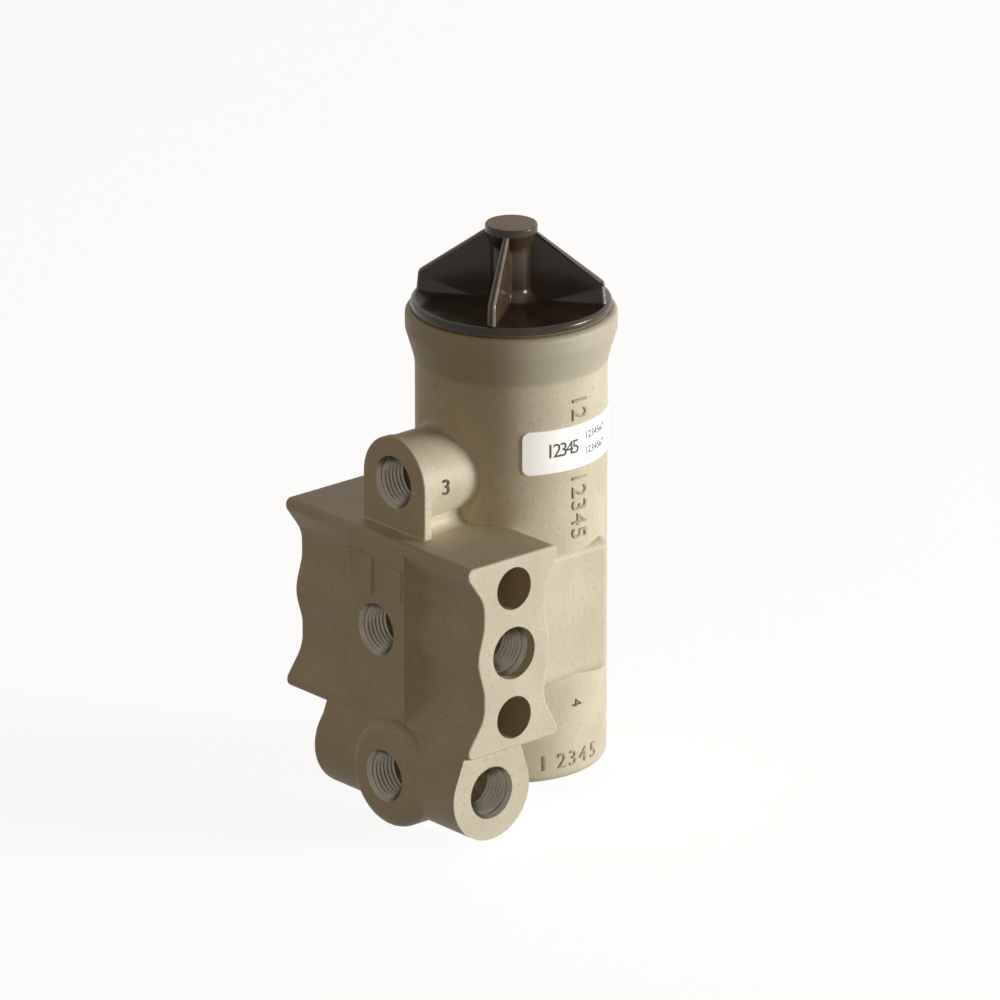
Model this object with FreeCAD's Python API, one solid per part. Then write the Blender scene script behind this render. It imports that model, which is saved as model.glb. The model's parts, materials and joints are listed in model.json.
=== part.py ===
import FreeCAD, Part
import math
import os

# Air compressor governor.
# A cast body carries a bolt-through port block in front of an upright spring cylinder, which a
# screwed-in cover with four grip fins closes. Inside, a preloaded spring cartridge hangs from a
# retaining ring above a stepped piston, a hollow exhaust stem and an inlet and exhaust valve.
# Millimetres. The origin is the centre of the right mounting face. +X points out of that face,
# +Y runs from the port block to the cylinder, and +Z is up along the cylinder.

V = FreeCAD.Vector

# Port block
block_length = 55.4
block_height = 39.9
block_front = 11.9
block_rear = 11.4
block_corner = 1.3
lobe_height = 35.8
lobe_corner = 1.5
waist_front = 7.85
waist_rear = 8.15
waist_height = 24.2
waist_round = 7.0
bulge_front = 9.75
bulge_rear = 9.55
bulge_height = 13.2
bulge_blend = 6.0
bulge_round = 9.2
block_edge_round = 0.5
panel_width = 17.0
bolt_hole_radius = 4.365
bolt_spacing = 26.99

# Spring cylinder and its lip
axis_distance = 23.4
cylinder_radius = 19.05
cylinder_drop = 34.8
foot_round = 2.0
lip_height = 59.4
lip_radius = 21.0
lip_band = 4.0
lip_taper = 6.5
lip_round = 1.15
lip_blend = 12.0
lip_shoulder = 4.0

# Pad that joins the block to the cylinder
pad_width = 38.6
pad_height = 28.2
pad_reach = 9.6
pad_round = 2.3

# Ports
port_radius = 4.75
port_mouth_radius = 5.4
port_depth = 9.6
front_port_depth = 8.7
reservoir_front_depth = 6.9
port_chamfer = 0.8
side_port_recess = 2.2
gallery_radius = 3.0
passage_radius = 2.2

# Exhaust boss above the block
exhaust_height = 29.7
exhaust_setback = 4.6
exhaust_plate_radius = 9.26
exhaust_plate_thickness = 1.9
exhaust_boss_radius = 9.0
exhaust_web_width = 12.0
exhaust_edge_round = 0.5
exhaust_root_round = 1.5
exhaust_web_round = 2.0

# Reservoir boss below the block
reservoir_drop = 28.4
reservoir_setback = 6.9
reservoir_radius = 9.8
reservoir_end_setback = 1.0
reservoir_length = 43.0
reservoir_end_round = 1.2
reservoir_flank_front = 11.7
reservoir_flank_rear = 2.2
reservoir_port_offset = 6.0
reservoir_port_boss_radius = 11.0
reservoir_port_stand = 3.1
reservoir_port_round = 3.0
reservoir_web_width = 14.0
reservoir_web_height = 14.0

# Bores of the cylinder
floor_thickness = 3.8
lower_bore_radius = 8.5
upper_bore_radius = 11.0
bore_step_height = 3.6
upper_bore_length = 9.6
chamber_radius = 15.2
annulus_radius = 10.2
annulus_width = 5.6
cover_bore_radius = 17.5
cover_bore_depth = 8.6
seal_seat_radius = 18.6
seal_seat_depth = 1.5
ring_groove_radius = 16.3
ring_groove_drop = 8.75

# Fits and clearances
running_clearance = 0.05
thread_clearance = 0.08
seat_clearance = 0.1
ring_clearance = 0.05
seal_clearance = 0.04
spring_end_clearance = 0.06
coil_gap = 0.08
edge_break = 0.4
fine_edge_break = 0.2
cut_margin = 1.0
tolerance = 1e-3

# Cover
cover_plug_length = 8.0
cover_plug_wall = 2.4
cover_flange_radius = 19.9
cover_flange_thickness = 2.0
cover_flange_round = 0.8
cover_boss_height = 15.3
cover_boss_radius = 4.15
cover_boss_foot = 2.6
cover_neck_length = 3.2
cover_edge_round = 0.4
cover_disc_radius = 5.2
cover_disc_thickness = 1.5
fin_count = 4
fin_angle = -53.2
fin_thickness_foot = 1.7
fin_thickness_top = 1.1
fin_reach_foot = 19.1
fin_reach_shoulder = 18.7
fin_shoulder_height = 4.3
fin_shoulder_round = 1.4
fin_slope = 35.2

# Spring cartridge
ring_thickness = 1.3
ring_width = 2.3
ring_gap_half_angle = 13.0
ring_lug_radius = 2.2
ring_lug_hole_radius = 0.9
seat_thickness = 3.0
seat_hub_radius = 5.4
seat_hub_length = 5.0
screw_radius = 3.175
screw_end_stand = 2.0
screw_slot_width = 1.2
screw_slot_depth = 1.4
screw_head_thickness = 4.0
nut_across_flats = 11.11
nut_thickness = 3.97
spring_wire_radius = 1.6
spring_mean_radius = 11.0
spring_turns = 3.5
lower_seat_thickness = 2.2
lower_seat_radius = 13.0
lower_seat_hub_radius = 9.0
lower_seat_hub_height = 2.6

# Piston and what rides in it
piston_bottom = 25.0
piston_top = 15.4
piston_land_height = 9.0
piston_crown_radius = 9.9
piston_waist_radius = 6.8
piston_waist_drop = 5.0
groove_width = 2.4
ring_cord_radius = 0.9
upper_groove_height = 7.4
lower_groove_drop = 18.6
valve_pocket_radius = 5.6
valve_seat_drop = 9.0
valve_seat_radius = 3.3
valve_seat_lip = 0.8
passage_top = 1.6
cross_hole_count = 4
cross_hole_radius = 1.2
head_recess_radius = 7.2
head_recess_floor = 4.6
gland_radius = 2.92
gland_depth = 1.5
gland_cord_radius = 0.62
washer_radius = 4.4
washer_thickness = 0.8

# Exhaust stem and valve
stem_radius = 1.6
stem_bore_radius = 0.75
stem_gap = 1.0
stem_head_radius = 3.4
stem_head_thickness = 1.2
stem_cross_hole_radius = 0.6
stem_spring_wire_radius = 0.3
stem_spring_mean_radius = 2.6
stem_spring_turns = 2.5
valve_radius = 4.7
valve_facing_thickness = 1.3
valve_facing_radius = 4.3
valve_body_thickness = 2.2
valve_guide_radius = 2.0
valve_guide_length = 4.5
valve_spring_wire_radius = 0.35
valve_spring_mean_radius = 3.1
valve_spring_turns = 4.5

# Filters and label
filter_radius = 3.8
filter_thickness = 2.5
label_height = 8.9
label_bottom = 30.6
label_thickness = 0.16
label_start_angle = -34.5
label_sweep = 114.0

# Places that follow from the sizes above
axis_x = -block_length / 2
axis_y = axis_distance
half_height = block_height / 2
front_y = -block_front
exhaust_face_y = front_y + exhaust_setback
reservoir_y = front_y + reservoir_setback
reservoir_end_x = -reservoir_end_setback
reservoir_port_x = axis_x + reservoir_port_offset
reservoir_port_face_y = front_y - reservoir_port_stand
bore_floor = floor_thickness - cylinder_drop
chamber_floor = bore_step_height + upper_bore_length
upper_seat_top = lip_height - ring_groove_drop - ring_thickness - ring_clearance
upper_seat_bottom = upper_seat_top - seat_thickness
lower_seat_bottom = piston_top + seat_clearance
lower_seat_top = lower_seat_bottom + lower_seat_thickness
screw_head_bottom = lower_seat_bottom - screw_head_thickness
stem_head_bottom = screw_head_bottom - stem_head_thickness
valve_top = -valve_seat_drop
stem_bottom = valve_top + stem_gap
cover_base = lip_height
cover_top = cover_base + cover_flange_thickness


def in_yz(x):
    """Place an outline (y, z) on the plane at x."""
    return lambda y, z: V(x, y, z)


def in_xz(y):
    """Place an outline (x, z) on the plane at y."""
    return lambda x, z: V(x, y, z)


def about_axis(r, z):
    """Place an outline (radius, z) in the cylinder's own half plane."""
    return V(axis_x + r, axis_y, z)


def rounded_wire(corners, place):
    """Closed wire through corners (a, b, radius), with a tangent arc at each rounded corner."""
    bends = []
    for index, (a, b, radius) in enumerate(corners):
        here = V(a, b, 0)
        before = V(corners[index - 1][0], corners[index - 1][1], 0) - here
        following = corners[(index + 1) % len(corners)]
        after = V(following[0], following[1], 0) - here
        if radius == 0:
            bends.append((here, here, here))
            continue
        half_angle = before.getAngle(after) / 2
        before.normalize()
        after.normalize()
        bisector = (before + after).normalize()
        setback = radius / math.tan(half_angle)
        middle = here + bisector * (radius / math.sin(half_angle) - radius)
        bends.append((here + before * setback, middle, here + after * setback))
    edges = []
    for index, (start, middle, end) in enumerate(bends):
        if (end - start).Length > 1e-6:
            arc_points = [place(point.x, point.y) for point in (start, middle, end)]
            edges.append(Part.Arc(*arc_points).toShape())
        next_start = bends[(index + 1) % len(bends)][0]
        if (next_start - end).Length > 1e-6:
            edges.append(Part.makeLine(place(end.x, end.y), place(next_start.x, next_start.y)))
    return Part.Wire(edges)


def extruded(corners, place, direction):
    return Part.Face(rounded_wire(corners, place)).extrude(direction)


def revolved(corners, sweep=360):
    """Solid turned about the cylinder's axis from an outline (radius, z, corner radius)."""
    face = Part.Face(rounded_wire(corners, about_axis))
    return face.revolve(V(axis_x, axis_y, 0), V(0, 0, 1), sweep)


def tube(inner, outer, low, high):
    """Ring about the cylinder's axis."""
    return revolved([(inner, low, 0), (outer, low, 0), (outer, high, 0), (inner, high, 0)])


def disc(radius, low, high):
    """Plain cylinder about the cylinder's axis."""
    return Part.makeCylinder(radius, high - low, V(axis_x, axis_y, low))


def drilled(mouth, direction, radius, depth):
    return Part.makeCylinder(radius, depth, mouth, direction)


def hexagon(across_flats, low, high):
    """Hexagonal prism about the cylinder's axis."""
    corner_radius = across_flats / math.sqrt(3)
    points = []
    for index in range(7):
        angle = math.radians(60 * index + 30)
        points.append(V(axis_x + corner_radius * math.cos(angle),
                        axis_y + corner_radius * math.sin(angle), low))
    return Part.Face(Part.makePolygon(points)).extrude(V(0, 0, high - low))


def cord_ring(mean_radius, cord_radius, height):
    """Sealing ring of round cord about the cylinder's axis."""
    return Part.makeTorus(mean_radius, cord_radius, V(axis_x, axis_y, height))


def coil_spring(mean_radius, wire_radius, active_turns, low, high):
    """Compression spring between two seats: half turns of round wire, closed up at both ends."""
    closed_rise = wire_radius + coil_gap / 2
    bottom = low + wire_radius + spring_end_clearance
    travel = high - low - 2 * (wire_radius + spring_end_clearance)
    active_rise = (travel - 4 * closed_rise) / (2 * active_turns)
    rises = [closed_rise] * 2 + [active_rise] * int(2 * active_turns) + [closed_rise] * 2
    across = V(0, 1, 0)
    pieces = []
    side = 1
    for rise in rises:
        start = V(axis_x + side * mean_radius, axis_y, bottom)
        chord = V(-2 * side * mean_radius, 0, rise)
        section = Part.Face(Part.Wire(Part.makeCircle(wire_radius, start, across)))
        turning_axis = chord.cross(across) * -side
        pieces.append(section.revolve(start + chord / 2, turning_axis, 180))
        bottom += rise
        side = -side
    return pieces[0].fuse(pieces[1:])


def tangent_point(outside, centre, radius, side):
    """Point where a line from an outside point touches a circle, in (y, z)."""
    reach = outside - centre
    swing = side * math.acos(radius / reach.Length)
    angle = math.atan2(reach.y, reach.x) + swing
    return centre + V(radius * math.cos(angle), radius * math.sin(angle), 0)


def cylinder_outside():
    return revolved([
        (0, -cylinder_drop, 0),
        (cylinder_radius, -cylinder_drop, foot_round),
        (cylinder_radius, lip_height - lip_band - lip_taper, lip_blend),
        (lip_radius, lip_height - lip_band, lip_shoulder),
        (lip_radius, lip_height, lip_round),
        (0, lip_height, 0)])


def port_block():
    """Block with lobes round the bolt holes, waists between them and a bulge round the middle port."""
    lobe = lobe_height / 2
    waist = waist_height / 2
    bulge = bulge_height / 2
    upper_rear = [(block_rear, half_height, block_corner), (block_rear, lobe, lobe_corner),
                  (waist_rear, waist, waist_round), (waist_rear, bulge, bulge_blend)]
    upper_front = [(-block_front, half_height, block_corner), (-block_front, lobe, lobe_corner),
                   (-waist_front, waist, waist_round), (-waist_front, bulge, bulge_blend)]
    lower_rear = [(y, -z, radius) for y, z, radius in reversed(upper_rear)]
    lower_front = [(y, -z, radius) for y, z, radius in upper_front]
    outline = upper_rear + [(bulge_rear, 0, bulge_round)] + lower_rear
    outline += lower_front + [(-bulge_front, 0, bulge_round)] + list(reversed(upper_front))
    block = extruded(outline, in_yz(-block_length), V(block_length, 0, 0))
    rims = [edge for edge in block.Edges
            if edge.BoundBox.XLength < tolerance]
    return block.makeFillet(block_edge_round, rims)


def front_panel():
    outline = [(-block_front, half_height, block_corner), (0, half_height, 0),
               (0, -half_height, 0), (-block_front, -half_height, block_corner)]
    return extruded(outline, in_yz(axis_x - panel_width / 2), V(panel_width, 0, 0))


def joining_pad():
    """Rounded pad from the block to just behind the cylinder's axis."""
    depth = axis_y + pad_reach
    pad = Part.makeBox(pad_width, depth, pad_height,
                       V(axis_x - pad_width / 2, 0, -pad_height / 2))
    outer_edges = [edge for edge in pad.Edges if edge.BoundBox.YMax > tolerance]
    return pad.makeFillet(pad_round, outer_edges)


def exhaust_boss():
    """Round boss from the cylinder, a flat plate in front of it and a web down to the block."""
    round_boss = drilled(V(axis_x, exhaust_face_y, exhaust_height), V(0, 1, 0),
                         exhaust_boss_radius, axis_y - exhaust_face_y)
    top = exhaust_height + exhaust_plate_radius
    foot = half_height - block_corner
    outline = [(axis_x - exhaust_plate_radius, foot, 0),
               (axis_x - exhaust_plate_radius, top, exhaust_plate_radius),
               (axis_x + exhaust_plate_radius, top, exhaust_plate_radius),
               (axis_x + exhaust_plate_radius, foot, 0)]
    plate = extruded(outline, in_xz(exhaust_face_y), V(0, exhaust_plate_thickness, 0))
    web = Part.makeBox(exhaust_web_width, axis_y - exhaust_face_y, exhaust_height - foot,
                       V(axis_x - exhaust_web_width / 2, exhaust_face_y, foot))
    return round_boss.fuse([plate, web])


def reservoir_boss():
    """Teardrop boss under the block, with its front port boss and the web to the cylinder."""
    centre = V(reservoir_y, -reservoir_drop, 0)
    front_root = V(-reservoir_flank_front, -half_height + block_corner, 0)
    rear_root = V(reservoir_flank_rear, -half_height + block_corner, 0)
    front_touch = tangent_point(front_root, centre, reservoir_radius, 1)
    rear_touch = tangent_point(rear_root, centre, reservoir_radius, -1)
    left_x = reservoir_end_x - reservoir_length
    run = V(reservoir_length, 0, 0)
    barrel = drilled(V(left_x, reservoir_y, -reservoir_drop), V(1, 0, 0), reservoir_radius, reservoir_length)
    left_rim = [edge for edge in barrel.Edges
                if edge.BoundBox.XMax < left_x + tolerance]
    barrel = barrel.makeFillet(reservoir_end_round, left_rim)
    flank = [(point.x, point.y, 0) for point in (front_root, front_touch, centre, rear_touch, rear_root)]
    flanks = extruded(flank, in_yz(left_x + reservoir_end_round), run - V(reservoir_end_round, 0, 0))
    port_boss = drilled(V(reservoir_port_x, reservoir_port_face_y, -reservoir_drop), V(0, 1, 0),
                        reservoir_port_boss_radius, reservoir_y - reservoir_port_face_y)
    port_rim = [edge for edge in port_boss.Edges
                if edge.BoundBox.YMax < reservoir_port_face_y + tolerance]
    port_boss = port_boss.makeFillet(reservoir_port_round, port_rim)
    web = Part.makeBox(reservoir_web_width, axis_y - reservoir_y, reservoir_web_height,
                       V(reservoir_port_x - reservoir_web_width / 2, reservoir_y,
                         -half_height - reservoir_web_height + block_corner))
    return barrel.fuse([flanks, port_boss, web])


def port_cut(mouth, inward, depth, recess=0):
    """Threaded port: its bore, and the countersink at its mouth or at the bottom of a recess."""
    bore = drilled(mouth, inward, port_radius, depth)
    chamfer = Part.makeCone(port_mouth_radius, port_radius, port_chamfer, mouth + inward * recess, inward)
    if recess:
        bore = bore.fuse(drilled(mouth, inward, port_mouth_radius, recess))
    return bore.fuse(chamfer)


def filter_pocket(mouth):
    """Pocket behind a right-hand port that holds its filter."""
    inward = V(-1, 0, 0)
    return drilled(mouth + inward * port_depth, inward, filter_radius, filter_thickness)


def cylinder_bores():
    """All that is turned out of the cylinder, from the mouth to the reservoir chamber."""
    groove_top = lip_height - ring_groove_drop
    groove_bottom = groove_top - ring_thickness - 2 * ring_clearance
    bores = revolved([
        (0, bore_floor, 0),
        (lower_bore_radius, bore_floor, 0),
        (lower_bore_radius, bore_step_height, 0),
        (upper_bore_radius, bore_step_height, 0),
        (upper_bore_radius, chamber_floor, 0),
        (chamber_radius, chamber_floor, 0),
        (chamber_radius, lip_height - cover_bore_depth, 0),
        (cover_bore_radius, lip_height - cover_bore_depth, 0),
        (cover_bore_radius, lip_height - seal_seat_depth, 0),
        (seal_seat_radius, lip_height - seal_seat_depth, 0),
        (seal_seat_radius, lip_height + cut_margin, 0),
        (0, lip_height + cut_margin, 0)])
    annulus = disc(annulus_radius, -annulus_width / 2, annulus_width / 2)
    ring_groove = disc(ring_groove_radius, groove_bottom, groove_top)
    return bores.fuse([annulus, ring_groove])


def galleries():
    """Threaded ports and the passages behind them."""
    right = V(1, 0, 0)
    left = V(-1, 0, 0)
    back = V(0, 1, 0)
    unloader_front = V(axis_x, front_y, 0)
    reservoir_right = V(reservoir_end_x, reservoir_y, -reservoir_drop)
    reservoir_front = V(reservoir_port_x, reservoir_port_face_y, -reservoir_drop)
    exhaust_front = V(axis_x, exhaust_face_y, exhaust_height)
    cuts = [
        port_cut(V(0, 0, 0), left, port_depth, side_port_recess),
        port_cut(V(-block_length, 0, 0), right, port_depth, side_port_recess),
        port_cut(unloader_front, back, front_port_depth),
        port_cut(reservoir_right, left, port_depth),
        port_cut(reservoir_front, back, reservoir_front_depth),
        filter_pocket(V(0, 0, 0)),
        filter_pocket(reservoir_right),
        port_cut(exhaust_front, back, port_depth),
        drilled(V(0, 0, 0), left, gallery_radius, block_length),
        drilled(unloader_front, back, passage_radius, axis_y - front_y - lower_bore_radius),
        drilled(reservoir_right, left, gallery_radius, reservoir_end_x - reservoir_port_x),
        drilled(reservoir_front, back, passage_radius, axis_y - reservoir_port_face_y),
        drilled(exhaust_front, back, gallery_radius, axis_y - exhaust_face_y)]
    for side in (-1, 1):
        height = side * bolt_spacing / 2
        cuts.append(drilled(V(0, 0, height), left, bolt_hole_radius, block_length))
    return cuts


def rounded_between(shape, radius, low, high):
    """Fillet on the edges of a casting that lie wholly between two corners of a box."""
    edges = []
    for edge in shape.Edges:
        box = edge.BoundBox
        if (box.XMin > low.x and box.YMin > low.y and box.ZMin > low.z
                and box.XMax < high.x and box.YMax < high.y and box.ZMax < high.z):
            edges.append(edge)
    return shape.makeFillet(radius, edges)


def body_casting():
    casting = cylinder_outside().fuse([port_block(), front_panel(), joining_pad(),
                                       exhaust_boss(), reservoir_boss()]).removeSplitter()
    # Exhaust boss: its root on the cylinder, then the rim of its plate
    reach = exhaust_boss_radius + exhaust_edge_round
    root_y = axis_y - cylinder_radius
    plate_foot = half_height - block_corner
    casting = rounded_between(casting, exhaust_root_round,
                              V(axis_x - reach, root_y - cut_margin, exhaust_height - reach),
                              V(axis_x + reach, root_y + exhaust_boss_radius / 2, exhaust_height + reach))
    casting = rounded_between(casting, exhaust_edge_round,
                              V(axis_x - reach, exhaust_face_y - tolerance, plate_foot - tolerance),
                              V(axis_x + reach, exhaust_face_y + tolerance, exhaust_height + reach))
    # Long feet of the web on the block's top
    plate_back = exhaust_face_y + exhaust_plate_thickness
    half_web = exhaust_web_width / 2
    for side in (-1, 1):
        foot_x = axis_x + side * half_web
        casting = rounded_between(casting, exhaust_web_round,
                                  V(foot_x - tolerance, plate_back - tolerance, half_height - tolerance),
                                  V(foot_x + tolerance, axis_y, half_height + tolerance))
    casting = casting.cut([cylinder_bores()] + galleries())
    return casting.removeSplitter()


def cover_fin(angle):
    """One grip fin, thinner towards its sloping top edge."""
    top_inner = cover_top + fin_shoulder_height
    rise = math.tan(math.radians(fin_slope)) * fin_reach_shoulder
    outline = [(0, cover_top, 0), (fin_reach_foot, cover_top, 0),
               (fin_reach_shoulder, top_inner, fin_shoulder_round), (0, top_inner + rise, 0)]
    fin = extruded(outline, in_xz(-fin_thickness_foot / 2), V(0, fin_thickness_foot, 0))
    cap_height = top_inner + rise
    half_foot = fin_thickness_foot / 2
    half_top = fin_thickness_top / 2
    drafted = extruded([(-half_foot, cover_top, 0), (half_foot, cover_top, 0),
                        (half_top, cap_height, 0), (-half_top, cap_height, 0)],
                       in_yz(0), V(fin_reach_foot, 0, 0))
    fin = fin.common(drafted)
    fin.rotate(V(0, 0, 0), V(0, 0, 1), angle)
    fin.translate(V(axis_x, axis_y, 0))
    return fin


def cover():
    """Screwed-in cover: threaded skirt, flange, grip boss and fins."""
    plug_radius = cover_bore_radius - thread_clearance
    skirt_radius = plug_radius - cover_plug_wall
    disc_top = cover_top + cover_boss_height
    disc_bottom = disc_top - cover_disc_thickness
    shell = revolved([
        (0, cover_base, 0),
        (skirt_radius, cover_base, 0),
        (skirt_radius, cover_base - cover_plug_length, 0),
        (plug_radius, cover_base - cover_plug_length, cover_edge_round),
        (plug_radius, cover_base, 0),
        (cover_flange_radius, cover_base, 0),
        (cover_flange_radius, cover_top, cover_flange_round),
        (cover_boss_radius, cover_top, cover_boss_foot),
        (cover_boss_radius, disc_bottom - cover_neck_length, 2 * cover_neck_length),
        (cover_disc_radius, disc_bottom, cover_edge_round),
        (cover_disc_radius, disc_top, cover_edge_round),
        (0, disc_top, 0)])
    below_disc = disc(cover_flange_radius, cover_top, disc_bottom)
    fins = [cover_fin(fin_angle + 360 / fin_count * index).common(below_disc)
            for index in range(fin_count)]
    return shell.fuse(fins).removeSplitter()


def cover_seal():
    plug_radius = cover_bore_radius - thread_clearance
    return tube(plug_radius + seal_clearance, seal_seat_radius - seal_clearance,
                lip_height - seal_seat_depth, lip_height)


def retaining_ring():
    """Internal ring with a gap and two lugs with plier holes."""
    outer = ring_groove_radius - ring_clearance
    inner = outer - ring_width
    high = lip_height - ring_groove_drop - ring_clearance
    low = high - ring_thickness
    ring = tube(inner, outer, low, high)
    half_gap = math.radians(ring_gap_half_angle)
    sideways = 2 * outer * math.sin(half_gap)
    centre = V(axis_x, axis_y, low)
    far_y = axis_y + 2 * outer * math.cos(half_gap)
    wedge_points = [centre, V(axis_x + sideways, far_y, low), V(axis_x - sideways, far_y, low), centre]
    wedge = Part.Face(Part.makePolygon(wedge_points)).extrude(V(0, 0, ring_thickness))
    ring = ring.cut(wedge)
    lug_swing = half_gap + math.asin(ring_lug_radius / inner)
    for side in (-1, 1):
        place = V(axis_x + side * inner * math.sin(lug_swing),
                  axis_y + inner * math.cos(lug_swing), low)
        ring = ring.fuse(Part.makeCylinder(ring_lug_radius, ring_thickness, place))
        ring = ring.cut(Part.makeCylinder(ring_lug_hole_radius, ring_thickness, place))
    return ring


def upper_spring_seat():
    """Threaded disc under the retaining ring, with a hub that centres the pressure spring."""
    hub_low = upper_seat_bottom - seat_hub_length
    centring = spring_mean_radius - spring_wire_radius - seat_clearance
    bore = screw_radius + thread_clearance
    return revolved([
        (bore, upper_seat_top, 0),
        (bore, hub_low, 0),
        (seat_hub_radius, hub_low, edge_break),
        (centring, upper_seat_bottom - spring_wire_radius, edge_break),
        (centring, upper_seat_bottom, 0),
        (chamber_radius - seat_clearance, upper_seat_bottom, edge_break),
        (chamber_radius - seat_clearance, upper_seat_top, edge_break)])


def lock_nut():
    bore = disc(screw_radius + thread_clearance, upper_seat_top, upper_seat_top + nut_thickness)
    nut = hexagon(nut_across_flats, upper_seat_top, upper_seat_top + nut_thickness)
    bevel = chamfered_disc(nut_across_flats, upper_seat_top, upper_seat_top + nut_thickness)
    return nut.common(bevel).cut(bore)


def chamfered_disc(across_flats, low, high):
    """Disc that bevels the corners of a hexagon at both ends."""
    corner = across_flats / math.sqrt(3)
    flat = across_flats / 2
    drop = (corner - flat) * math.tan(math.radians(30))
    return revolved([(0, low, 0), (flat, low, 0), (corner, low + drop, 0),
                     (corner, high - drop, 0), (flat, high, 0), (0, high, 0)])


def adjusting_screw():
    """Screw with its head below the lower seat and a driver slot at its upper end."""
    end = upper_seat_top + nut_thickness + screw_end_stand
    head = hexagon(nut_across_flats, screw_head_bottom, lower_seat_bottom)
    head = head.common(chamfered_disc(nut_across_flats, screw_head_bottom, lower_seat_bottom))
    shank = disc(screw_radius, screw_head_bottom, end)
    tip = [edge for edge in shank.Edges if edge.BoundBox.ZMin > end - tolerance]
    shank = shank.makeChamfer(edge_break, tip)
    slot = Part.makeBox(2 * nut_across_flats, screw_slot_width, screw_slot_depth,
                        V(axis_x - nut_across_flats, axis_y - screw_slot_width / 2,
                          end - screw_slot_depth))
    return head.fuse(shank).cut(slot)


def pressure_spring():
    return coil_spring(spring_mean_radius, spring_wire_radius, spring_turns,
                       lower_seat_top, upper_seat_bottom)


def lower_spring_seat():
    """Seat that the screw head holds at rest and the piston lifts."""
    bore = screw_radius + seat_clearance
    hub_top = lower_seat_top + lower_seat_hub_height
    return revolved([
        (bore, lower_seat_bottom, 0),
        (lower_seat_radius, lower_seat_bottom, edge_break),
        (lower_seat_radius, lower_seat_top, edge_break),
        (lower_seat_hub_radius, lower_seat_top, 0),
        (lower_seat_hub_radius, hub_top, edge_break),
        (bore, hub_top, 0)])


def exhaust_stem():
    """Hollow stem whose head bears on the screw and whose lower end seats on the valve."""
    stem = revolved([
        (stem_bore_radius, stem_bottom, 0),
        (stem_radius, stem_bottom, fine_edge_break),
        (stem_radius, stem_head_bottom, 0),
        (stem_head_radius, stem_head_bottom, 0),
        (stem_head_radius, screw_head_bottom, fine_edge_break),
        (0, screw_head_bottom, 0),
        (0, screw_head_bottom - stem_head_thickness / 2, 0),
        (stem_bore_radius, screw_head_bottom - stem_head_thickness / 2, 0)])
    vent = drilled(V(axis_x - stem_head_radius, axis_y, stem_head_bottom - 2 * stem_cross_hole_radius),
                   V(1, 0, 0), stem_cross_hole_radius, 2 * stem_head_radius)
    return stem.cut(vent)


def exhaust_stem_spring():
    return coil_spring(stem_spring_mean_radius, stem_spring_wire_radius, stem_spring_turns,
                       head_recess_floor + washer_thickness, stem_head_bottom)


def stem_washer():
    return tube(stem_radius + seat_clearance, washer_radius,
                head_recess_floor, head_recess_floor + washer_thickness)


def stem_o_ring():
    height = head_recess_floor - gland_cord_radius - seal_clearance
    return cord_ring(gland_radius - gland_cord_radius - seal_clearance / 2, gland_cord_radius, height)


def piston():
    """Stepped piston with seal grooves, a valve pocket below and a screw head recess above."""
    upper_radius = upper_bore_radius - running_clearance
    lower_radius = lower_bore_radius - running_clearance
    land_top = bore_step_height + piston_land_height
    upper_floor = upper_radius - 2 * ring_cord_radius
    lower_floor = lower_radius - 2 * ring_cord_radius
    groove_low = -lower_groove_drop
    outline = [
        (valve_pocket_radius, -piston_bottom, 0),
        (lower_radius, -piston_bottom, edge_break),
        (lower_radius, groove_low, 0), (lower_floor, groove_low, 0),
        (lower_floor, groove_low + groove_width, 0), (lower_radius, groove_low + groove_width, 0),
        (lower_radius, -piston_waist_drop, 0), (piston_waist_radius, -piston_waist_drop, 0),
        (piston_waist_radius, bore_step_height, 0), (upper_radius, bore_step_height, 0),
        (upper_radius, upper_groove_height, 0), (upper_floor, upper_groove_height, 0),
        (upper_floor, upper_groove_height + groove_width, 0),
        (upper_radius, upper_groove_height + groove_width, 0),
        (upper_radius, land_top, edge_break), (piston_crown_radius, land_top, 0),
        (piston_crown_radius, piston_top, edge_break), (head_recess_radius, piston_top, 0),
        (head_recess_radius, head_recess_floor, 0),
        (gland_radius, head_recess_floor, 0), (gland_radius, head_recess_floor - gland_depth, 0),
        (stem_radius + running_clearance, head_recess_floor - gland_depth, 0),
        (stem_radius + running_clearance, passage_top, 0), (valve_seat_radius, passage_top, 0),
        (valve_seat_radius, valve_top, 0),
        (valve_seat_radius + valve_seat_lip, valve_top, 0),
        (valve_seat_radius + valve_seat_lip, valve_top + valve_seat_lip, 0),
        (valve_pocket_radius, valve_top + valve_seat_lip, 0)]
    body = revolved(outline)
    for index in range(cross_hole_count):
        angle = math.radians(45 + 360 / cross_hole_count * index)
        body = body.cut(drilled(V(axis_x, axis_y, -passage_top), V(math.cos(angle), math.sin(angle), 0),
                                cross_hole_radius, lower_bore_radius))
    return body


def piston_o_ring_upper():
    outer = upper_bore_radius - running_clearance
    height = upper_groove_height + groove_width / 2
    return cord_ring(outer - ring_cord_radius, ring_cord_radius, height)


def piston_o_ring_lower():
    outer = lower_bore_radius - running_clearance
    height = -lower_groove_drop + groove_width / 2
    return cord_ring(outer - ring_cord_radius, ring_cord_radius, height)


def inlet_exhaust_valve():
    """Valve body with a recess for its facing and a guide for its spring."""
    body_top = valve_top - valve_facing_thickness / 2
    body_bottom = valve_top - valve_facing_thickness / 2 - valve_body_thickness
    return revolved([
        (0, valve_top - valve_facing_thickness, 0),
        (valve_facing_radius, valve_top - valve_facing_thickness, 0),
        (valve_facing_radius, body_top, 0),
        (valve_radius, body_top, fine_edge_break),
        (valve_radius, body_bottom, edge_break),
        (valve_guide_radius, body_bottom, 0),
        (valve_guide_radius, body_bottom - valve_guide_length, edge_break),
        (0, body_bottom - valve_guide_length, 0)])


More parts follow.
